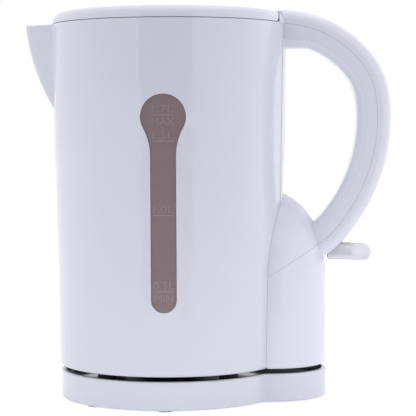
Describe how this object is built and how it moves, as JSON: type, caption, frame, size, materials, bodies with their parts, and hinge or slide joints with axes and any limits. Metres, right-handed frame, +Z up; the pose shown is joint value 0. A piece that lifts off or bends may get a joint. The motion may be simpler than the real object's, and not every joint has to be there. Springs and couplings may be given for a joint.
{
  "type": "electric kettle",
  "caption": "White cordless electric kettle with a smoked water gauge, hinged lid, loop handle with clear switch lever, and a lobed power base.",
  "frame": {"origin": "on the jug's axis, on the surface that the base's feet stand on", "axes": "+X from the spout towards the handle, -Y towards the water gauge, +Z up"},
  "size_m": [0.2092, 0.134, 0.2229],
  "materials": {
    "white_gloss": "gloss moulded plastic",
    "white_matte": "satin moulded plastic",
    "smoked_clear": "smoked translucent plastic",
    "frosted_clear": "frosted translucent plastic",
    "mesh_white": "moulded nylon mesh",
    "black_plastic": "satin black plastic",
    "dark_plastic": "satin dark plastic",
    "rubber": "soft grey rubber",
    "seal_silicone": "translucent silicone",
    "heater_steel": "brushed stainless steel",
    "element_aluminium": "cast aluminium",
    "screw_steel": "zinc plated steel",
    "contact_brass": "bare contact metal",
    "lamp_red": "red translucent lamp"
  },
  "bodies": {
    "base": {"base_top": "white_gloss", "base_bottom": "white_matte", "base_feet": "rubber", "base_screws": "screw_steel", "base_socket": "black_plastic", "base_contacts": "contact_brass"},
    "jug": {"jug_body": "white_gloss", "handle_inner": "white_gloss", "handle_cover": "white_gloss", "water_gauge": "smoked_clear", "filter_frame": "white_matte", "filter_mesh": "mesh_white", "heater_plate": "heater_steel", "heater_seal": "seal_silicone", "heater_clamp_ring": "screw_steel", "heating_element": "element_aluminium", "thermostat_control": "black_plastic", "bimetal_discs": "contact_brass", "plug_contacts": "contact_brass", "jug_bottom_cover": "dark_plastic", "jug_bottom_screws": "screw_steel", "lid_hinge_pin": "screw_steel", "steam_switch": "black_plastic", "steam_bimetal": "contact_brass", "indicator_lamp": "lamp_red", "lever_pin": "screw_steel"},
    "lid": {"lid_cover": "white_gloss", "lid_inner": "white_matte", "lid_seal": "seal_silicone"},
    "lever": {"switch_rocker": "dark_plastic", "switch_lever": "frosted_clear"}
  },
  "joints": [
    {"name": "jug_lift", "type": "slide", "parent": "base", "child": "jug", "axis": [0, 0, 1], "range_m": [0, 0.09]},
    {"name": "lid_hinge", "type": "hinge", "parent": "jug", "child": "lid", "pos_m": [0.0605, 0, 0.21828], "axis": [0, 1, 0], "range_deg": [0, 66]},
    {"name": "lever_rock", "type": "hinge", "parent": "jug", "child": "lever", "pos_m": [0.07974, 0, 0.08453], "axis": [0, 1, 0], "range_deg": [0, 8]}
  ]
}
